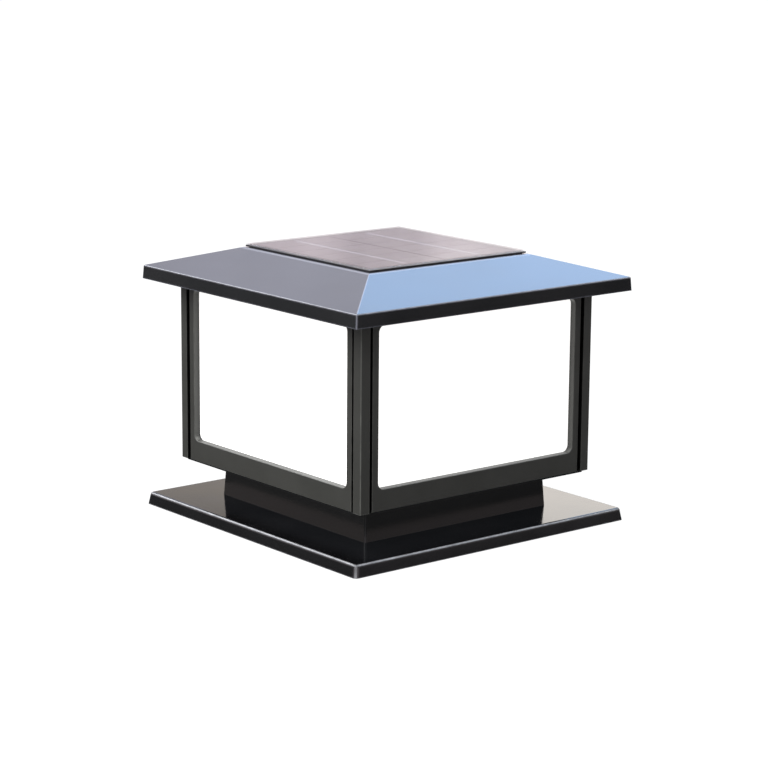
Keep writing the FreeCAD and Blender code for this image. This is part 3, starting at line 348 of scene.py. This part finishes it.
def roof_coat():
    """Blue-black gloss, with a pale painted highlight along the hips and round the fold under the
    panel, and a paler line of wear and painted highlight on its other edges.
    """
    material, tree, output = new_material("roof_enamel")
    grain = use(tree, GRAIN, Fine_Scale=420.0, Slow_Scale=16.0)
    base = blend_colours(tree, clouds(tree, grain), (0.004, 0.0045, 0.006, 1),
                         (0.007, 0.0075, 0.009, 1))
    place = put(tree, "ShaderNodeSeparateXYZ", Vector=place_on(tree)).outputs
    from_hip = calc(tree, "ABSOLUTE", calc(tree, "SUBTRACT", calc(tree, "ABSOLUTE", place["X"]),
                                           calc(tree, "ABSOLUTE", place["Y"])))
    hip_and_fold_highlight = calc(tree, "MAXIMUM", spread(tree, from_hip, HIP_END, HIP_FULL),
                spread(tree, place["Z"], FOLD_START, FOLD_FULL))
    worn_and_lit_edge = use(tree, EDGE_WEAR_AND_HIGHLIGHT, Width=0.0010, Full_Lean=0.975).outputs["Mask"]
    pale_wear_and_highlight = calc(tree, "MULTIPLY", calc(tree, "MAXIMUM", hip_and_fold_highlight, worn_and_lit_edge), 0.42)
    # The pale blue-grey painted on there as highlight.
    base = blend_colours(tree, pale_wear_and_highlight, base, (0.46, 0.47, 0.56, 1))
    base, rough = dusted(tree, base, clouds(tree, grain, 0.12, 0.22), 0.03)
    surface(tree, output, Base_Color=base, Roughness=rough, IOR=1.5, Coat_Weight=0.5,
            Coat_Roughness=0.14, Normal=relief(tree, grain.outputs["Fine"], 0.03, GRAIN_DEPTH))
    return material


dress(roof_coat(), "roof_shell")


# ---- Ceiling tray, battery lid and switch: black mouldings ---------------------------------------
# The tray closes the roof under the eaves and its pan drops into the lantern. The tray and the lid
# under the battery share a sand-textured plastic, the switch case is smoother, its button rubber.

moulding = finish_of("tray_plastic", (0.030, 0.030, 0.031), (0.040, 0.040, 0.041), 0.55,
                     fine=2200.0, slow=40.0, bump=0.25)
dress(moulding, "ceiling_tray", "battery_lid")
case_plastic = finish_of("switch_plastic", (0.028, 0.028, 0.029), (0.036, 0.036, 0.037), 0.42,
                         fine=3000.0, slow=80.0, bump=0.12)
dress(case_plastic, "switch_body")
button_rubber = finish_of("button_rubber", (0.16, 0.16, 0.17), (0.20, 0.20, 0.21), 0.68,
                          fine=4000.0, slow=200.0, bump=0.3)
dress(button_rubber, "switch_button")


# ---- Reflector, lamp board and chips: the light itself -------------------------------------------
# A white sheet under the pan throws the light down. Sixteen chips sit on a white-masked aluminium
# board with copper tracks between them.

TRACK_PITCH, TRACK_GAP = 0.0065, 0.0004
white_sheet = finish_of("white_sheet", (0.90, 0.90, 0.89), (0.94, 0.94, 0.93), 0.45, fine=1600.0,
                        slow=25.0)
dress(white_sheet, "reflector")


def lamp_mask():
    """White solder mask over tracks, which show as a slightly raised grid."""
    material, tree, output = new_material("lamp_board")
    tracks = put(tree, "ShaderNodeTexBrick", {"offset": 0.0}, Vector=place_on(tree), Scale=1.0,
                 Color1=(1, 1, 1, 1), Color2=(1, 1, 1, 1), Mortar=(0, 0, 0, 1),
                 Mortar_Size=TRACK_GAP, Mortar_Smooth=0.2, Brick_Width=TRACK_PITCH,
                 Row_Height=TRACK_PITCH).outputs["Fac"]
    surface(tree, output, Roughness=0.32,
            Base_Color=blend_colours(tree, tracks, (0.88, 0.88, 0.86, 1), (0.80, 0.80, 0.78, 1)),
            Normal=relief(tree, tracks, 0.3, 0.0001))
    return material


dress(lamp_mask(), "lamp_board")


def phosphor():
    """Yellow phosphor, lit."""
    material, tree, output = new_material("chip")
    grain = use(tree, GRAIN, Fine_Scale=3500.0, Slow_Scale=500.0)
    surface(tree, output, Roughness=0.35, Emission_Color=(1.0, 0.93, 0.75, 1),
            Emission_Strength=1.2,
            Base_Color=blend_colours(tree, grain.outputs["Fine"], (0.90, 0.74, 0.25, 1),
                                     (0.95, 0.82, 0.38, 1)))
    return material


dress(phosphor(), "lamp_chips")


# ---- Battery: cell, holder and contacts ----------------------------------------------------------
# A round lithium cell in blue shrink wrap, in a walled holder on the pan's floor, between two
# nickel-plated spring plates.

WRAP_HALF = 0.0325


def shrink_wrap():
    """Thin film drawn over steel: fine wrinkles along it, and bare steel at the end faces."""
    material, tree, output = new_material("battery_wrap")
    place = place_on(tree)
    along = put(tree, "ShaderNodeSeparateXYZ", Vector=place).outputs["X"]
    end = calc(tree, "GREATER_THAN", calc(tree, "ABSOLUTE", along), WRAP_HALF)
    stretched = put(tree, "ShaderNodeMapping", Vector=place, Scale=(300.0, 1500.0, 1500.0))
    wrinkle = put(tree, "ShaderNodeTexNoise", Vector=stretched.outputs[0], Scale=1.0, Detail=3.0)
    surface(tree, output, Roughness=0.25, Metallic=end,
            Base_Color=blend_colours(tree, end, (0.045, 0.16, 0.42, 1), (0.62, 0.62, 0.60, 1)),
            Normal=relief(tree, wrinkle.outputs["Fac"], 0.15, 0.0003))
    return material


dress(shrink_wrap(), "battery_cell")
holder_plastic = finish_of("holder_plastic", (0.030, 0.030, 0.030), (0.042, 0.042, 0.042), 0.48,
                           fine=2600.0, slow=60.0, bump=0.15)
dress(holder_plastic, "battery_holder")
contact_metal = finish_of("contact_metal", (0.66, 0.64, 0.58), (0.58, 0.56, 0.50), 0.28,
                          metallic=1.0, fine=2400.0, slow=150.0, bump=0.06)
dress(contact_metal, "battery_contacts")


# ---- Charge controller and leads -----------------------------------------------------------------
# A green board on four studs, with a chip, a coil, a transistor, a capacitor and a plug, and four
# pairs of insulated wires to the panel, lamp, battery and switch.

def green_mask():
    """Green solder mask over copper tracks."""
    material, tree, output = new_material("control_board")
    track = put(tree, "ShaderNodeTexVoronoi", {"distance": "CHEBYCHEV", "feature": "F1"},
                Vector=place_on(tree), Scale=220.0, Randomness=0.55)
    line = spread(tree, track.outputs["Distance"], 0.30, 0.34)
    surface(tree, output, Roughness=0.28, Coat_Weight=0.4,
            Base_Color=blend_colours(tree, line, (0.012, 0.13, 0.045, 1),
                                     (0.010, 0.085, 0.030, 1)),
            Normal=relief(tree, line, 0.3, 0.0001))
    return material


dress(green_mask(), "control_board")
package = finish_of("control_parts", (0.022, 0.022, 0.024), (0.032, 0.032, 0.034), 0.40,
                    fine=3500.0, slow=120.0, bump=0.12)
dress(package, "control_parts")


def insulation():
    """Soft plastic, red on some wires and black on the others, by a random value for each wire."""
    material, tree, output = new_material("lead_insulation")
    grain = use(tree, GRAIN, Fine_Scale=1800.0, Slow_Scale=90.0)
    island = tree.nodes.new("ShaderNodeNewGeometry").outputs["Random Per Island"]
    red = calc(tree, "GREATER_THAN", island, 0.5)
    surface(tree, output, Roughness=clouds(tree, grain, 0.34, 0.46),
            Base_Color=blend_colours(tree, red, (0.018, 0.018, 0.018, 1), (0.42, 0.02, 0.018, 1)))
    return material


dress(insulation(), "panel_lead", "lamp_lead", "battery_lead", "switch_lead")
grommet_rubber = finish_of("grommet_rubber", (0.022, 0.022, 0.022), (0.032, 0.032, 0.031), 0.65,
                           fine=3000.0, slow=120.0, bump=0.2)
dress(grommet_rubber, "lead_grommet")


# ---- Solar panel: tape, board, cells, ribbons and clear sheet ------------------------------------
# Six dark violet cells in each of two columns, each column joined by a tinned ribbon, under a cast
# clear sheet, on black foam tape. The ribbons and the sheet are made here, a little clear of the
# faces near them, because a face that touches a see-through one isn't drawn.

foam = finish_of("foam_tape", (0.014, 0.014, 0.014), (0.022, 0.022, 0.022), 0.85, fine=3500.0,
                 slow=200.0, bump=0.6)
dress(foam, "panel_tape")
backboard = finish_of("backboard", (0.014, 0.014, 0.016), (0.020, 0.020, 0.022), 0.36,
                      fine=2000.0, slow=70.0, bump=0.08)
dress(backboard, "solar_backboard")


def silicon_cells():
    """Silicon under a violet coating, with thin silver fingers across and patches of crystal."""
    material, tree, output = new_material("silicon")
    base = blend_colours(tree, crystals(tree, 110.0), (0.040, 0.022, 0.050, 1),
                         (0.060, 0.034, 0.068, 1))
    finger = put(tree, "ShaderNodeTexWave", {"wave_type": "BANDS", "bands_direction": "Y"},
                 Vector=place_on(tree), Scale=125.0)
    line = spread(tree, finger.outputs["Fac"], 0.93, 0.99)
    surface(tree, output, Roughness=0.30, Base_Color=blend_colours(
        tree, calc(tree, "MULTIPLY", line, 0.25), base, (0.35, 0.34, 0.36, 1)))
    return material


dress(silicon_cells(), "solar_cells")


def shape_tree(name, inputs):
    """A geometry node tree with named inputs, given as (name, kind), and its two ends."""
    tree = bpy.data.node_groups.new(name, "GeometryNodeTree")
    for label, kind in inputs:
        tree.interface.new_socket(label, in_out="INPUT", socket_type="NodeSocket" + kind)
    tree.interface.new_socket("Geometry", in_out="OUTPUT", socket_type="NodeSocketGeometry")
    return tree, tree.nodes.new("NodeGroupInput").outputs, tree.nodes.new("NodeGroupOutput").inputs


def finished(tree, result, shapes, material):
    """Joins shapes, makes their instances real and gives them their material."""
    joined = tree.nodes.new("GeometryNodeJoinGeometry")
    for shape in shapes:
        tree.links.new(shape, joined.inputs[0])
    real = put(tree, "GeometryNodeRealizeInstances", Geometry=joined.outputs[0])
    coated = put(tree, "GeometryNodeSetMaterial", Geometry=real.outputs[0], Material=material)
    tree.links.new(coated.outputs[0], result["Geometry"])


def grown(name, tree, sizes, body):
    """The plain mesh that a geometry node tree makes with these sizes, as a piece on a body."""
    seed = bpy.data.objects.new(name + "_seed", bpy.data.meshes.new(name + "_seed"))
    scene.collection.objects.link(seed)
    modifier = seed.modifiers.new("shape", "NODES")
    modifier.node_group = tree
    for socket in tree.interface.items_tree:
        if socket.in_out == "INPUT":
            modifier[socket.identifier] = sizes[socket.name]
    settled = seed.evaluated_get(bpy.context.evaluated_depsgraph_get())
    mesh = bpy.data.meshes.new_from_object(settled)
    mesh.name = name
    bpy.data.objects.remove(seed)
    piece = bpy.data.objects.new(name, mesh)
    scene.collection.objects.link(piece)
    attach(piece, body)
    return piece


def ribbon_tree(material):
    """Two flat ribbons side by side, each with a flat solder joint over every cell."""
    tree, given, result = shape_tree("tinned_ribbons", [
        ("Length", "Float"), ("Width", "Float"), ("Thickness", "Float"), ("Spread", "Float"),
        ("Height", "Float"), ("Joints", "Int"), ("Joint Run", "Float"), ("Joint Size", "Float")])
    size = put(tree, "ShaderNodeCombineXYZ", X=given["Length"], Y=given["Width"],
               Z=given["Thickness"]).outputs[0]
    bar = put(tree, "GeometryNodeMeshCube", Size=size)
    # The smallest grid has four corners: with no length they fall on two points, which are merged.
    ends = put(tree, "GeometryNodeMeshGrid", Size_X=0.0, Size_Y=given["Spread"], Vertices_X=2,
               Vertices_Y=2)
    middles = put(tree, "GeometryNodeMergeByDistance", Geometry=ends.outputs["Mesh"],
                  Distance=0.0001)
    bars = put(tree, "GeometryNodeInstanceOnPoints", Points=middles.outputs[0],
               Instance=bar.outputs["Mesh"])
    joint = put(tree, "GeometryNodeMeshUVSphere", Segments=14, Rings=8, Radius=given["Joint Size"])
    places = put(tree, "GeometryNodeMeshGrid", Size_X=given["Joint Run"], Size_Y=given["Spread"],
                 Vertices_X=given["Joints"], Vertices_Y=2)
    joints = put(tree, "GeometryNodeInstanceOnPoints", Points=places.outputs["Mesh"],
                 Instance=joint.outputs["Mesh"], Scale=(1.5, 0.8, 0.055))
    shapes = []
    for shape in (bars, joints):
        lifted = put(tree, "GeometryNodeTransform", Geometry=shape.outputs[0], Translation=put(
            tree, "ShaderNodeCombineXYZ", Z=given["Height"]).outputs[0])
        shapes.append(lifted.outputs[0])
    finished(tree, result, shapes, material)
    return tree


RIBBON_WIDTH, RIBBON_THICKNESS, RIBBON_LIFT, JOINT_RADIUS = 0.003, 0.00008, 0.00006, 0.0011
CELLS_ALONG = 6
ribbon_metal = finish_of("ribbon", (0.58, 0.55, 0.57), (0.48, 0.46, 0.48), 0.42, metallic=1.0,
                         fine=2500.0, slow=200.0, bump=0.1)
ribbon_low, ribbon_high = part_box("solar_ribbons")
cells_low, cells_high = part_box("solar_cells")
cell_pitch = (cells_high[0] - cells_low[0]) / CELLS_ALONG
ribbons = grown("tinned_ribbons", ribbon_tree(ribbon_metal), {
    "Length": ribbon_high[0] - ribbon_low[0], "Width": RIBBON_WIDTH,
    "Thickness": RIBBON_THICKNESS, "Spread": ribbon_high[1] - ribbon_low[1] - RIBBON_WIDTH,
    "Height": ribbon_low[2] + RIBBON_LIFT, "Joints": CELLS_ALONG,
    "Joint Run": cell_pitch * (CELLS_ALONG - 1), "Joint Size": JOINT_RADIUS},
    "roof")
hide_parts("solar_ribbons")

# How much of the clear sheet shows: looked straight through, and looked along.
SHOWN_THROUGH, SHOWN_ALONG = 0.12, 0.68
COVER_LIFT, COVER_EDGE = 0.0002, 0.00025


def clear_sheet():
    """Cast clear resin: seen through from above and shiny when looked along, with a faint ripple.
    Only its outer faces show."""
    material, tree, output = new_material("clear_cover")
    grain = use(tree, GRAIN, Fine_Scale=240.0, Slow_Scale=14.0)
    lying = use(tree, DUST, Amount=0.12).outputs["Mask"]
    rough = calc(tree, "ADD", clouds(tree, grain, 0.04, 0.08),
                 calc(tree, "MULTIPLY", lying, 0.4), True)
    along = put(tree, "ShaderNodeFresnel", IOR=1.5).outputs[0]
    shine = spread(tree, along, 0.04, 0.40, SHOWN_THROUGH, SHOWN_ALONG)
    side = tree.nodes.new("ShaderNodeNewGeometry").outputs
    facing = put(tree, "ShaderNodeSeparateXYZ", Vector=side["Normal"]).outputs["Z"]
    outer = calc(tree, "MULTIPLY", calc(tree, "GREATER_THAN", facing, -0.2),
                 calc(tree, "SUBTRACT", 1.0, side["Backfacing"]))
    surface(tree, output, Base_Color=(0.040, 0.022, 0.045, 1), Roughness=rough, IOR=2.0,
            Alpha=calc(tree, "MULTIPLY", calc(tree, "MAXIMUM", shine, lying), outer),
            Normal=relief(tree, grain.outputs["Slow"], 0.05, 0.001))
    return material


def cast_cover():
    """The sheet over the cells, clear of the ribbons, with the soft top edge of poured resin."""
    low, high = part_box("solar_cover")
    base = low[2] + COVER_LIFT
    mesh = bpy.data.meshes.new("cast_cover")
    shape = bmesh.new()
    bmesh.ops.create_cube(shape, size=1.0)
    for vertex in shape.verts:
        vertex.co.x *= high[0] - low[0]
        vertex.co.y *= high[1] - low[1]
        vertex.co.z = high[2] if vertex.co.z > 0 else base
    rim = [edge for edge in shape.edges if all(vertex.co.z == high[2] for vertex in edge.verts)]
    bmesh.ops.bevel(shape, geom=rim, offset=COVER_EDGE, segments=3, profile=0.5, affect="EDGES")
    shape.to_mesh(mesh)
    shape.free()
    mesh.materials.append(clear_sheet())
    piece = bpy.data.objects.new("cast_cover", mesh)
    scene.collection.objects.link(piece)
    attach(piece, "roof")
    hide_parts("solar_cover")


cast_cover()


# ---- The room: floor, sky, lamps and camera ------------------------------------------------------
# To the camera the floor and the sky are white. Gloss mirrors a sky of its own, with haze, a dark
# skyline and patches of light, and everything else has even light. One large lamp stands in front,
# and weak ones to the right and behind.

FLOOR_HALF, FLOOR_DROP = 6.0, 0.0002


def seen_directly(tree):
    """1 on a ray that the camera sends, straight or through something clear."""
    path = tree.nodes.new("ShaderNodeLightPath").outputs
    return calc(tree, "MAXIMUM", path["Is Camera Ray"], path["Is Transmission Ray"])


def floor_surface():
    """White to the camera and dark to the light, so that it throws little up."""
    material, tree, output = new_material("studio_floor")
    glow = put(tree, "ShaderNodeEmission", Color=(1, 1, 1, 1),
               Strength=calc(tree, "MULTIPLY", seen_directly(tree), 0.94))
    matt = put(tree, "ShaderNodeBsdfDiffuse", Color=(0.15, 0.15, 0.15, 1))
    both = put(tree, "ShaderNodeAddShader", i0=glow.outputs[0], i1=matt.outputs[0])
    tree.links.new(both.outputs[0], output.inputs["Surface"])
    return material


floor_mesh = bpy.data.meshes.new("studio_floor")
floor_mesh.from_pydata([(x * FLOOR_HALF, y * FLOOR_HALF, 0)
                        for x, y in ((-1, -1), (1, -1), (1, 1), (-1, 1))], [], [(0, 1, 2, 3)])
floor = bpy.data.objects.new("studio_floor", floor_mesh)
floor.location.z = -FLOOR_DROP
floor_mesh.materials.append(floor_surface())
scene.collection.objects.link(floor)

# The sky that gloss mirrors. Heights are the sine of the angle above the horizon: the colours at
# five of them, where the bands in the haze end, and how dark and how bright the bands are.
SKY = ((0.12, (0.95, 0.85, 0.92)), (0.252, (0.80, 0.71, 0.60)), (0.268, (0.14, 0.15, 0.18)),
       (0.36, (0.26, 0.29, 0.34)), (0.45, (0.70, 0.78, 0.90)))
SKY_STRENGTH = 1.25
BANDS_END, BANDS_FULL = 0.24, 0.19
BAND_DARK, BAND_BRIGHT = 0.62, 1.22
BANDS_ROUND, BANDS_UP = 26.0, 3.0
# Patches of light in it: direction, degrees to its full and to its last light, and colour.
PATCHES = (((-0.759, 0.410, 0.507), 8, 13, (0.34, 0.26, 0.34)),
           ((-0.529, 0.617, 0.582), 8, 13, (0.52, 1.05, 2.0)),
           ((-0.680, 0.674, 0.284), 4, 9, (1.75, 1.68, 1.58)),
           ((-0.759, -0.209, 0.617), 9, 16, (5.0, 5.0, 5.2)),
           ((0.209, 0.617, 0.758), 8, 13, (3.0, 3.3, 3.8)))


def sky_by_height(sky, bearing):
    """The sky's colour by height, with soft bands in the haze low down."""
    ramp = put(sky, "ShaderNodeValToRGB", Fac=bearing["Z"])
    stops = ramp.color_ramp.elements
    for stop, (height, colour) in zip(stops, (SKY[0], SKY[-1])):
        stop.position = height
        stop.color = (*colour, 1)
    for height, colour in SKY[1:-1]:
        stops.new(height).color = (*colour, 1)
    turn = calc(sky, "ARCTAN2", bearing["X"], bearing["Y"])
    strip = put(sky, "ShaderNodeCombineXYZ", X=calc(sky, "MULTIPLY", turn, BANDS_ROUND),
                Y=calc(sky, "MULTIPLY", bearing["Z"], BANDS_UP))
    noise = put(sky, "ShaderNodeTexNoise", Vector=strip.outputs[0], Scale=1.0, Detail=3.0)
    band = spread(sky, noise.outputs["Fac"], 0.32, 0.68, BAND_DARK, BAND_BRIGHT)
    in_haze = spread(sky, bearing["Z"], BANDS_END, BANDS_FULL)
    level = calc(sky, "ADD", calc(sky, "MULTIPLY", in_haze, calc(sky, "SUBTRACT", band, 1.0)), 1.0)
    return put(sky, "ShaderNodeVectorMath", {"operation": "SCALE"}, i0=ramp.outputs["Color"],
               Scale=calc(sky, "MULTIPLY", level, SKY_STRENGTH)).outputs[0]


def mirrored_sky(sky):
    """All that gloss mirrors: the sky by height, and the patches by direction."""
    toward = sky.nodes.new("ShaderNodeTexCoord").outputs["Generated"]
    colours = sky_by_height(sky, put(sky, "ShaderNodeSeparateXYZ", Vector=toward).outputs)
    for direction, full, last, colour in PATCHES:
        nearness = put(sky, "ShaderNodeVectorMath", {"operation": "DOT_PRODUCT"}, i0=toward,
                       i1=Vector(direction).normalized()).outputs["Value"]
        share = spread(sky, nearness, math.cos(math.radians(last)), math.cos(math.radians(full)))
        light = put(sky, "ShaderNodeVectorMath", {"operation": "SCALE"}, i0=colour, Scale=share)
        colours = put(sky, "ShaderNodeVectorMath", {"operation": "ADD"}, i0=colours,
                      i1=light.outputs[0]).outputs[0]
    return colours


def studio_sky():
    """The world: one background for each kind of ray."""
    world = bpy.data.worlds.new("studio_sky")
    scene.world = world
    world.use_nodes = True
    sky = world.node_tree
    sky.nodes.clear()
    output = sky.nodes.new("ShaderNodeOutputWorld")
    glossy = sky.nodes.new("ShaderNodeLightPath").outputs["Is Glossy Ray"]
    mirrored = put(sky, "ShaderNodeBackground", Color=mirrored_sky(sky), Strength=1.0)
    even = put(sky, "ShaderNodeBackground", Color=(0.95, 0.97, 1.0, 1), Strength=0.55)
    white = put(sky, "ShaderNodeBackground", Color=(1, 1, 1, 1), Strength=1.0)
    lit = put(sky, "ShaderNodeMixShader", i0=glossy, i1=even.outputs[0], i2=mirrored.outputs[0])
    shown = put(sky, "ShaderNodeMixShader", i0=seen_directly(sky), i1=lit.outputs[0],
                i2=white.outputs[0])
    sky.links.new(shown.outputs[0], output.inputs["Surface"])


studio_sky()

LAMP_DISTANCE, LAMP_AIM = 2.4, Vector((0, 0, 0.08))


def outward_at(azimuth, elevation):
    """The direction out from the light at an azimuth and elevation in degrees; 0 is in front."""
    turn, rise = math.radians(azimuth), math.radians(elevation)
    return Vector((math.sin(turn) * math.cos(rise), -math.cos(turn) * math.cos(rise),
                   math.sin(rise)))


def softbox(name, azimuth, elevation, width, power, colour=(1, 1, 1)):
    """A square lamp that looks at the light's middle."""
    lamp = bpy.data.lights.new(name, "AREA")
    lamp.shape = "SQUARE"
    lamp.size = width
    lamp.energy = power
    lamp.color = colour
    back = outward_at(azimuth, elevation)
    carrier = bpy.data.objects.new(name, lamp)
    carrier.location = back * LAMP_DISTANCE + LAMP_AIM
    carrier.rotation_euler = back.to_track_quat("Z", "Y").to_euler()
    scene.collection.objects.link(carrier)


softbox("key", 352, 48, 2.4, 66.0)
softbox("fill", 100, 35, 1.6, 2.5)
softbox("back", 214, 33, 1.1, 1.5, (0.72, 0.85, 1.0))

# The camera, as solved from the photograph's straight edges.
AZIMUTH, ELEVATION, ROLL = 50.86, 12.04, math.radians(0.46)
DISTANCE, FOCUS_PIXELS, FRAME_PIXELS = 1.4221, 2453.4, 768
TARGET, ASIDE, RAISED = Vector((0, 0, 0.068)), 0.000108, 0.00803
SENSOR_WIDTH = 36.0
outward = outward_at(AZIMUTH, ELEVATION)
sideways = (-outward).cross(Vector((0, 0, 1))).normalized()
upright = sideways.cross(-outward)
right = math.cos(ROLL) * sideways + math.sin(ROLL) * upright
up = math.cos(ROLL) * upright - math.sin(ROLL) * sideways
camera = bpy.data.objects.new("camera", bpy.data.cameras.new("camera"))
camera.data.sensor_width = SENSOR_WIDTH
camera.data.lens = FOCUS_PIXELS / FRAME_PIXELS * SENSOR_WIDTH
camera.data.clip_start, camera.data.clip_end = 0.05, 50.0
spot = TARGET + outward * DISTANCE + right * ASIDE + up * RAISED
camera.matrix_world = Matrix.Translation(spot) @ Matrix((right, up, outward)).transposed().to_4x4()
scene.collection.objects.link(camera)
scene.camera = camera
scene.view_settings.view_transform = "Standard"
